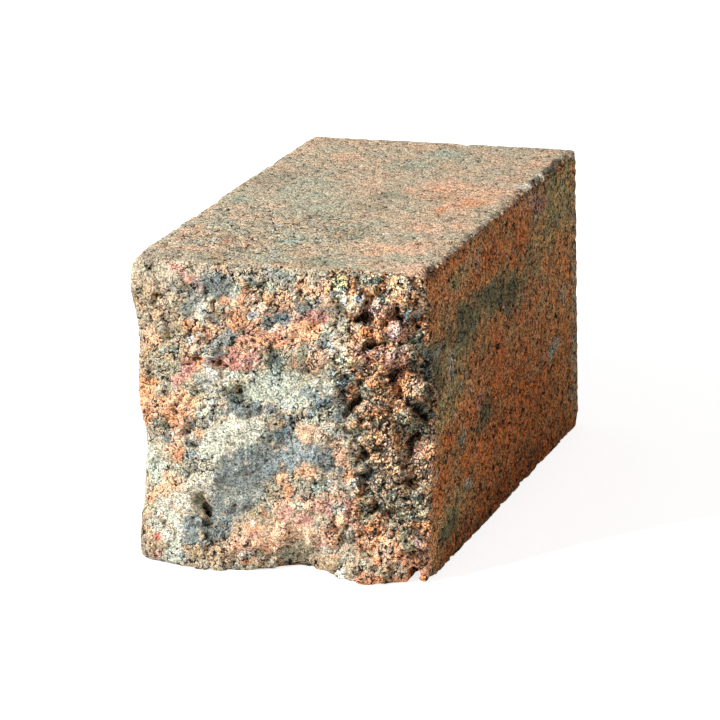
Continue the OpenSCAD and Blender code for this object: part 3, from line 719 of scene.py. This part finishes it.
def nearest(p, centres, radii):
    """For each place, the grain or clod whose surface is nearest, and how far that is in millimetres."""
    tree = tree_of(centres)
    index = np.zeros(len(p), np.int64)
    distance = np.full(len(p), 9.0)
    for n, place in enumerate(p):
        for _, candidate, far in tree.find_n(place, 4):
            if far - radii[candidate] < distance[n]:
                distance[n] = far - radii[candidate]
                index[n] = candidate
    return index, distance


near_split = np.flatnonzero(split > 0)
places = moved[near_split]
mix_colour = split_colours(places)
clod_colour = split_colours(clod_centres) * rng.uniform(*CLOD_LIGHT, (len(clod_centres), 1))
clod, distance = nearest(places, clod_centres, clod_radii)
in_clod = 0.75 * fade((0.5 - distance) / 0.4)[:, None]
mix_colour += in_clod * (clod_colour[clod] - mix_colour)
grain, distance = nearest(places, grain_centres, grain_radii)
in_grain = fade((0.35 - distance) / 0.3)[:, None]
front = np.zeros((len(P), 3))
front[near_split] = mix_colour + in_grain * (grain_colour[grain] - mix_colour)

# The moulded sides: which way each looks, the axes of its patches, the colour of the mix, the patches,
# and how open the mix is between its grains.
SIDES = [
    ((1, 0, 0), (1, 2), "russet", RIGHT_PATCHES, 0.82),
    ((-1, 0, 0), (1, 2), "tan", LEFT_PATCHES, 0.42),
    ((0, 1, 0), (0, 2), "russet", BACK_PATCHES, 0.5),
    ((0, 0, 1), (0, 1), "sand", TOP_PATCHES, 0.20),
    ((0, 0, -1), (0, 1), "khaki", TOP_PATCHES[::3], 0.3),
]


def facing(outward):
    """How much each point looks one way."""
    return fade((N @ np.array(outward, float) - 0.35) / 0.4)


colour = np.tile(linear(MIX["tan"]), (len(P), 1))
for outward, axes, base, patches, _ in SIDES:
    weight = facing(outward) * (1 - split)
    on_side = np.flatnonzero(weight > 0)
    painted = side_colour(P[on_side], axes, base, patches)
    colour[on_side] += weight[on_side][:, None] * (painted - colour[on_side])
colour += split[:, None] * (front - colour)

# Painted shade and highlight: crevices, the named hollows, the pits of the moulded faces and the slits in
# the chips are painted darker, and what stands proud is painted a little lighter.
PAINTED_HIGHLIGHT_PROUD, PAINTED_SHADE_CREVICE, PAINTED_SHADE_HOLLOW, PAINTED_SHADE_PIT, PAINTED_SHADOW_SLIT = 0.12, 0.66, 0.8, 0.5, 0.5
proud = np.clip(-crevice, -1, 0.8) * split
deep = fade((crevice - 0.35) / 0.9) * split
# Painted shade in the named hollows.
hollow_shade_mask = np.zeros(len(P))
hollow_shade_mask[near_split] = split[near_split] * fade((hollowness(places) - 0.7) / 1.3)
shade = ((1 + PAINTED_HIGHLIGHT_PROUD * proud) * (1 - PAINTED_SHADE_CREVICE * deep) * (1 - PAINTED_SHADE_HOLLOW * hollow_shade_mask)
         * (1 - PAINTED_SHADE_PIT * pit_shade_mask))
shade *= 1 - np.minimum(PAINTED_SHADOW_SLIT * slit_shadow_mask, 0.8)
colour *= np.clip(shade, 0.10, 1.2)[:, None]
# Painted light: the right face, which lies in shade, is made lighter, more so towards the back; the crumbly
# third is made lighter against the painted shade of its gaps.
lift_for_gaps_and_shaded_side = np.zeros(len(P))
lift_for_gaps_and_shaded_side[near_split] = looseness(places) * split[near_split]
lift_for_gaps_and_shaded_side += (0.75 + 0.6 * fade((P[:, 1] - 20) / 60)) * fade((N[:, 0] - 0.5) / 0.3) * (1 - split)
colour = np.clip(colour * BRIGHTEN * (1 + BRIGHTEN_GAPS_AND_SHADED_SIDE * lift_for_gaps_and_shaded_side)[:, None], 0.004, 0.95)

# Where the split face is closed, on the swell and its pale ridge: centre and reach along X and Z, turn.
CLOSED = [
    (-8.5, 36, 13, 9, 25), (-15, 24, 11, 12, 20), (-22, 40, 7, 8), (-12, 48, 9, 4), (8, 40, 9, 8),
    (2, 60, 16, 6), (-22, 60, 6, 4), (-42, 94, 8, 6), (0, 12, 16, 8), (-30, 22, 7, 6), (-39, 12, 8, 10),
    (-43, 31, 5, 8), (-33, 18, 7, 7),
]
OPEN_BASE, OPEN_SWING, CLOSED_DROP, LOOSE_RISE = 0.45, 0.25, 0.30, 0.45


def openness_of(p):
    """How open the mix is between its grains, from 0 to about 1, at places on the split face."""
    across, up = seen_from_front(p)
    level = OPEN_BASE + OPEN_SWING * fractal(p, 7, 3, 91)
    for oval in CLOSED:
        level -= CLOSED_DROP * fade((1.3 - within(across, up, *oval)) / 0.8)
    return np.clip(level, 0.06, 0.7) + LOOSE_RISE * looseness(p)


openness = np.full(len(P), 0.4)
for outward, *_, level in SIDES:
    openness += facing(outward) * (level - openness)
# The front left of the top is more pitted than the rest.
pitted = fade(1.4 - within(P[:, 0], P[:, 1], -16, -48, 34, 38)) * fade((P[:, 2] - 96) / 3)
openness += 0.20 * pitted
openness[on_split] += split[on_split] * (openness_of(moved[on_split]) - openness[on_split])

# Single pale stones, on the split face and along the top: centre, reach and colour.
STONES = [
    ((21, -84, 1.8), 2.8, (238, 230, 212)),
    ((46.6, 34.6, 100), 2.5, (236, 230, 216)),
    ((46.4, 51, 100), 2.0, (228, 222, 206)),
    ((21, -36, 100), 1.2, (240, 236, 222)),
    ((-17, -35, 100), 1.0, (232, 228, 212)),
]
for place, reach, rgb in STONES:
    near = np.sqrt((((P - np.array(place)) / reach) ** 2).sum(1))
    shown = fade((1.15 - near) / 0.3)[:, None]
    colour += shown * (linear(rgb) - colour)


# ---------------------------------------------------------------- the finished mesh

# The moulded faces are thinned first, then the split face, so that most triangles stay on that.
broken_part = split > 0.3
face_starts = np.empty(len(skin.polygons), np.int32)
skin.polygons.foreach_get("loop_start", face_starts)
loop_points = np.empty(len(skin.loops), np.int32)
skin.loops.foreach_get("vertex_index", loop_points)
broken_triangles = 2 * int(broken_part[loop_points[face_starts]].sum())
skin = thinned(skin, ~broken_part, broken_triangles + FLAT_TRIANGLES)
tree = tree_of(moved)
skin = thinned(skin, broken_part[[tree.find(place)[1] for place in vertices(skin)]], MAX_TRIANGLES)
from_dense = np.array([tree.find(place)[1] for place in vertices(skin)])
# The colour carries the painted shade and highlight above and the painted light of the right face.
paint = skin.attributes.new("mix", "FLOAT_COLOR", "POINT")
rgba = np.concatenate([colour[from_dense], np.ones((len(from_dense), 1))], 1)
paint.data.foreach_set("color", rgba.astype(np.float32).ravel())
gaps = skin.attributes.new("open", "FLOAT", "POINT")
gaps.data.foreach_set("value", openness[from_dense].astype(np.float32))
skin.polygons.foreach_set("use_smooth", [True] * len(skin.polygons))
skin.update()

block = bpy.data.objects.new("concrete_block", skin)
bpy.context.scene.collection.objects.link(block)

# A face map for the bake: each side of the block has its own rectangle, the split face the largest.
SHEET = 342.0
FRONT_SHARE = 0.35       # the split face claims what is nearer to it by this factor
CHARTS = {  # side: across, up, sheet corner, enlargement
    "right": (2, 1, (206, 1), 1.0),
    "left": (2, 1, (103, 1), 1.0),
    "back": (0, 2, (158, 182), 1.0),
    "front": (0, 2, (2, 182), 1.53),
    "top": (0, 1, (2, 1), 1.0),
    "bed": (0, 1, (260, 184), 0.8),
}


def face_map(mesh):
    """Lay every triangle flat in the rectangle of the side that it lies nearest to."""
    half = (high - low) / 2
    loops = np.empty(len(mesh.loops), np.int64)
    mesh.loops.foreach_get("vertex_index", loops)
    corners = vertices(mesh)[loops].reshape(-1, 3, 3)
    x, y, z = (corners.mean(1) - (low + high) / 2).T
    to_side = np.stack([half[0] - x, half[0] + x, half[1] - y, FRONT_SHARE * (half[1] + y),
                        half[2] - z, half[2] + z], -1)
    side = to_side.argmin(1)
    uv = np.zeros((len(corners), 3, 2))
    for n, (across, up, corner, size) in enumerate(CHARTS.values()):
        on = side == n
        for axis, which in ((0, across), (1, up)):
            uv[on, :, axis] = (corners[on][:, :, which] - low[which]) * size + corner[axis]
    layer = mesh.uv_layers.new(name="OFBake")
    layer.data.foreach_set("uv", (uv / SHEET).astype(np.float32).ravel())


face_map(skin)


# ---------------------------------------------------------------- material

class Nodes:
    """The shader nodes of a material or a world. What feeds a socket is a value or another socket."""

    def __init__(self, owner):
        owner.use_nodes = True
        self.tree = owner.node_tree
        self.tree.nodes.clear()

    def node(self, kind, feeds=None, **settings):
        made = self.tree.nodes.new("ShaderNode" + kind)
        for key, value in settings.items():
            setattr(made, key, value)
        for key, value in (feeds or {}).items():
            if isinstance(value, bpy.types.NodeSocket):
                self.tree.links.new(value, made.inputs[key])
            else:
                made.inputs[key].default_value = value
        return made

    def math(self, kind, a, b):
        return self.node("Math", {0: a, 1: b}, operation=kind).outputs[0]

    def vector(self, kind, *operands):
        return self.node("VectorMath", dict(enumerate(operands)), operation=kind).outputs[0]

    def scaled(self, vector, scale):
        return self.node("VectorMath", {0: vector, "Scale": scale}, operation="SCALE").outputs[0]

    def held(self, value):
        """The value kept between 0 and 1."""
        return self.node("Clamp", {"Value": value}).outputs[0]

    def mapped(self, value, low_in, high_in, low_out, high_out):
        return self.node("MapRange", {"Value": value, "From Min": low_in, "From Max": high_in,
                                      "To Min": low_out, "To Max": high_out}, clamp=True).outputs[0]

    def parts(self, cells_there):
        """Three random numbers from 0 to 1 for each cell."""
        split_up = self.node("SeparateColor", {0: cells_there.outputs["Color"]})
        return [split_up.outputs[name] for name in ("Red", "Green", "Blue")]


# Sizes in the mix, in millimetres.
GRIT = 0.98
SAND = 0.36
CRUMB = 2.2
LUMP = 2.9               # the lumps that the grit sticks together in
SPECK = 0.7
RELIEF = 0.75            # height of the bump
# How much light each of these takes away or adds; in the holes, pores and cracks that is painted shade.
DARK_SAND, HOLE_PAINTED_SHADE, PORE_PAINTED_SHADE, CRACK_PAINTED_SHADOW, QUARTZ_LIGHT = 0.6, 0.7, 0.74, 0.92, 0.25
QUARTZ_SHARE = 0.035
CRACK_SHADOW_WIDTH = 0.17
# The lower right of each grain and lump, the side away from the lamp, where the painted shade of pores and
# cracks falls.
LOWER_RIGHT = (0.7, 0, -0.7)
# Per lump: how far its warmth and its brightness move red, green and blue.
LUMP_TINTS = {"X": (0.44, 0.22), "Y": (0.06, 0.24), "Z": (-0.28, 0.26)}
# Colours of single stones in the mix, each from its place between 0 and 1 on a scale of grains.
STONE_COLOURS = [
    (0.00, (206, 200, 180)),
    (0.30, (150, 148, 132)),
    (0.46, (200, 160, 128)),
    (0.60, (176, 140, 122)),
    (0.70, (92, 92, 82)),
    (0.88, (232, 226, 208)),
]
STRAY_SHARE = 0.88       # share of grains that keep the colour of the mix


def concrete():
    """Dry-cast concrete: grit that sticks together in lumps, sand, pores, cracks and stray stones, with
    painted shade in its pinholes, pores and cracks.
    """
    material = bpy.data.materials.new("dry_cast_concrete")
    g = Nodes(material)
    plus, minus, times, over, power, below, above, most = (partial(g.math, kind) for kind in (
        "ADD", "SUBTRACT", "MULTIPLY", "DIVIDE", "POWER", "LESS_THAN", "GREATER_THAN", "MAXIMUM"))
    held, mapped = g.held, g.mapped
    in_mm = g.vector("MULTIPLY", g.node("TexCoord").outputs["Object"], (1 / MM, 1 / MM, 1 / MM))
    mix = g.node("Attribute", attribute_name="mix").outputs["Color"]
    openness = g.node("Attribute", attribute_name="open").outputs["Fac"]

    def noise(size, detail):
        return g.node("TexNoise", {"Vector": in_mm, "Scale": 1 / size, "Detail": detail, "Roughness": 0.6})

    def voronoi(size, at=in_mm, feature="F1"):
        return g.node("TexVoronoi", {"Vector": at, "Scale": 1 / size}, feature=feature)

    def bent_by(size, amount):
        """The place of a point, shifted to and fro so that the cells drawn there have ragged sides."""
        return g.vector("ADD", in_mm, g.scaled(noise(size, 2).outputs["Color"], amount))

    def lower_side(cells_there, vector, size):
        """How far a place lies towards the lower right of its cell, as a share of the cell."""
        from_centre = g.vector("SUBTRACT", vector, cells_there.outputs["Position"])
        down = tuple(part / size for part in LOWER_RIGHT)
        return g.node("VectorMath", {0: from_centre, 1: down}, operation="DOT_PRODUCT").outputs["Value"]

    def darkened(value, where, share):
        return times(value, minus(1.0, times(where, share)))

    ragged, wandering = bent_by(0.9, 0.6), bent_by(2.2, 3.0)
    grit_cells = voronoi(GRIT, ragged)
    crumb_cells = voronoi(CRUMB, ragged)
    lump_cells = voronoi(LUMP, wandering)
    lump_edges = voronoi(LUMP, wandering, "DISTANCE_TO_EDGE")
    sand_cells = voronoi(SAND)

    # Lumps, grit and sand: most grains are pale, a few are dark.
    grit_parts, sand_parts, lump_parts = g.parts(grit_cells), g.parts(sand_cells), g.parts(lump_cells)
    dark_grit = times(power(grit_parts[0], 3.0), plus(0.15, times(openness, 0.26)))
    factor = times(minus(1.06, dark_grit), plus(0.24, times(sand_parts[0], 1.42)))
    dark_sand = below(sand_parts[1], times(minus(openness, 0.4), 0.42))
    factor = darkened(factor, dark_sand, DARK_SAND)
    factor = times(factor, mapped(noise(3.2, 4).outputs["Fac"], 0.3, 0.7, 0.92, 1.08))
    crumb_level = times(minus(g.parts(crumb_cells)[0], 0.4), times(openness, 0.40))
    factor = times(factor, plus(crumb_level, 1.0))

    # Pinholes, painted dark as shade, and bright bits of quartz.
    speck = g.parts(voronoi(SPECK))[0]
    is_hole = below(speck, times(minus(openness, 0.12), 0.06))
    is_quartz = above(speck, 1 - QUARTZ_SHARE)
    factor = darkened(factor, is_hole, HOLE_PAINTED_SHADE)
    factor = times(factor, plus(1.0, times(is_quartz, QUARTZ_LIGHT)))

    # Pores where three or four grains meet, more of them where the mix is open: painted shade, pulled
    # towards the lower right of each grain, the side away from the lamp.
    patchy = mapped(noise(2.6, 3).outputs["Fac"], 0.40, 0.60, 0.0, 1.0)
    closed_at = minus(1.14, times(times(power(openness, 1.5), 0.50), plus(0.55, patchy)))
    reached = plus(grit_cells.outputs["Distance"], times(lower_side(grit_cells, ragged, GRIT), 0.35))
    pore = held(over(minus(reached, closed_at), 0.06))
    factor = darkened(factor, pore, PORE_PAINTED_SHADE)

    # Painted shadow: short dark cracks along the lower right side of some of the lumps, the side away from
    # the lamp, with a shallow groove in the bump.
    shown = mapped(noise(1.6, 2).outputs["Fac"], 0.44, 0.54, 0.0, 1.0)
    under = held(times(lower_side(lump_cells, wandering, LUMP), 4.0))
    crack_shadow_width = times(times(held(times(openness, 1.8)), CRACK_SHADOW_WIDTH), times(shown, under))
    crack_and_shadow = held(over(minus(crack_shadow_width, lump_edges.outputs["Distance"]), 0.03))
    factor = darkened(factor, crack_and_shadow, CRACK_PAINTED_SHADOW)

    # Each grain of sand, each grit and each lump has its own hue.
    sand_hue = g.vector("MULTIPLY_ADD", sand_cells.outputs["Color"], (0.20, 0.12, 0.24), (0.90, 0.94, 0.88))
    grit_tint = g.vector("MULTIPLY_ADD", grit_cells.outputs["Color"],
                         (0.10, 0.16, 0.22), (-0.05, -0.08, -0.11))
    grit_hue = g.vector("ADD", g.scaled(grit_tint, openness), (1, 1, 1))
    own_tint = held(times(minus(openness, 0.20), 2.8))
    warmth = times(minus(lump_parts[0], 0.5), own_tint)
    level = times(minus(lump_parts[1], 0.5), own_tint)
    lump_tint = g.node("CombineXYZ", {
        axis: plus(1.0, plus(times(warmth, warm), times(level, bright)))
        for axis, (warm, bright) in LUMP_TINTS.items()}).outputs[0]
    hue = g.vector("MULTIPLY", sand_hue, g.vector("MULTIPLY", grit_hue, lump_tint))
    lit_mix = g.scaled(g.vector("MULTIPLY", mix, hue), factor)

    # Some grains have a colour of their own, from the stones in the mix.
    stones = g.node("ValToRGB", {"Fac": grit_parts[1]})
    ramp = stones.color_ramp
    ramp.interpolation = "CONSTANT"
    for n, (start, rgb) in enumerate(STONE_COLOURS):
        stop = ramp.elements[n] if n < 2 else ramp.elements.new(start)
        stop.position = start
        stop.color = (*linear(rgb), 1)
    stray = mapped(grit_parts[2], STRAY_SHARE, STRAY_SHARE + 0.12, 0.0, 0.45)
    tinted = g.node("Mix", {"Factor": stray, "A": lit_mix, "B": g.scaled(stones.outputs["Color"], factor)},
                    data_type="RGBA", blend_type="MIX")

    # Relief too fine for the mesh: lumps, round grit, higher where the mix is open, sand, pores and cracks.
    far = power(mapped(grit_cells.outputs["Distance"], 0.0, 0.95, 0.0, 1.0), 2.0)
    domes = times(minus(1.0, far), most(0.18, times(openness, 0.95)))
    lumps = mapped(lump_cells.outputs["Distance"], 0.0, 0.9, 0.9, 0.0)
    height = plus(domes, times(lumps, held(times(openness, 1.6))))
    height = plus(height, mapped(sand_cells.outputs["Distance"], 0.0, 0.8, 0.16, 0.0))
    height = minus(height, times(most(pore, crack_and_shadow), 0.35))
    bump = g.node("Bump", {"Strength": 1.0, "Distance": RELIEF * MM, "Height": height})
    shader = g.node("BsdfPrincipled", {
        "Base Color": tinted.outputs["Result"], "IOR": 1.45, "Specular IOR Level": 0.25,
        "Roughness": mapped(noise(1.4, 2).outputs["Fac"], 0.3, 0.7, 0.82, 1.0), "Normal": bump.outputs[0]})
    g.node("OutputMaterial", {"Surface": shader.outputs[0]})
    return material


block.data.materials.clear()
block.data.materials.append(concrete())
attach(block, "root")
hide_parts("wall_block")


# ---------------------------------------------------------------- floor, light, camera

WHITE = (1, 1, 1, 1)
FLOOR_SIDE, FLOOR_COLOUR, FLOOR_GLOW = 3.0, (0.8, 0.8, 0.8, 1), 0.80     # metres from the middle
AMBIENT, BACKDROP = 0.26, 1.0           # strength of the surround as light and as seen
KEY_PLACE, KEY_AIM, KEY_WATTS, KEY_SIZE = (-0.88, -0.95, 1.08), (0, 0, 0.05), 38.0, 0.30    # metres


def make_floor():
    """A pale floor that takes the block's shadow and runs into the white behind it."""
    mesh = bpy.data.meshes.new("floor")
    corners = [(x * FLOOR_SIDE, y * FLOOR_SIDE, 0) for x, y in ((-1, -1), (1, -1), (1, 1), (-1, 1))]
    mesh.from_pydata(corners, [], [(0, 1, 2, 3)])
    floor = bpy.data.objects.new("floor", mesh)
    bpy.context.scene.collection.objects.link(floor)
    material = bpy.data.materials.new("pale_floor")
    g = Nodes(material)
    glow = g.math("MULTIPLY", g.node("LightPath").outputs["Is Camera Ray"], FLOOR_GLOW)
    both = g.node("AddShader", {0: g.node("BsdfDiffuse", {"Color": FLOOR_COLOUR}).outputs[0],
                                1: g.node("Emission", {"Color": WHITE, "Strength": glow}).outputs[0]})
    g.node("OutputMaterial", {"Surface": both.outputs[0]})
    mesh.materials.append(material)


def make_world():
    """An even white surround, stronger where the camera sees it than as light on the block."""
    world = bpy.data.worlds.new("studio")
    bpy.context.scene.world = world
    g = Nodes(world)
    level = g.mapped(g.node("LightPath").outputs["Is Camera Ray"], 0.0, 1.0, AMBIENT, BACKDROP)
    background = g.node("Background", {"Color": WHITE, "Strength": level})
    g.node("OutputWorld", {"Surface": background.outputs[0]})


def make_lamp():
    """One soft lamp from the front left."""
    data = bpy.data.lights.new("key", "AREA")
    data.energy = KEY_WATTS
    data.shape = "SQUARE"
    data.size = KEY_SIZE
    lamp = bpy.data.objects.new("key", data)
    lamp.location = KEY_PLACE
    lamp.rotation_euler = (Vector(KEY_AIM) - Vector(KEY_PLACE)).to_track_quat("-Z", "Y").to_euler()
    bpy.context.scene.collection.objects.link(lamp)


make_floor()
make_world()
make_lamp()

# The camera: direction, tilt and framing of the photograph. Degrees, millimetres of lens, and metres.
AZIMUTH, ELEVATION, ROLL = 19.5, 16.7, -1.6
LENS, SENSOR = 191.0, 36.0
DISTANCE = 1.279
AIM_RIGHT, AIM_UP = -0.0027, -0.0051

az, el, roll = (math.radians(v) for v in (AZIMUTH, ELEVATION, ROLL))
back_dir = Vector((math.sin(az) * math.cos(el), -math.cos(az) * math.cos(el), math.sin(el)))
flat_right = Vector((0, 0, 1)).cross(back_dir).normalized()
flat_up = back_dir.cross(flat_right)
right_dir = math.cos(roll) * flat_right + math.sin(roll) * flat_up
up_dir = -math.sin(roll) * flat_right + math.cos(roll) * flat_up
camera_data = bpy.data.cameras.new("camera")
camera_data.lens = LENS
camera_data.sensor_width = SENSOR
camera = bpy.data.objects.new("camera", camera_data)
centre = Vector((0, (FACE_Y + HALF_D) / 2 * MM, HEIGHT / 2 * MM))
camera.location = centre + back_dir * DISTANCE + right_dir * AIM_RIGHT + up_dir * AIM_UP
turned = Matrix((right_dir, up_dir, back_dir)).transposed().to_4x4()
camera.matrix_world = Matrix.Translation(camera.location) @ turned
bpy.context.scene.collection.objects.link(camera)
bpy.context.scene.camera = camera
bpy.context.scene.view_settings.view_transform = "Standard"
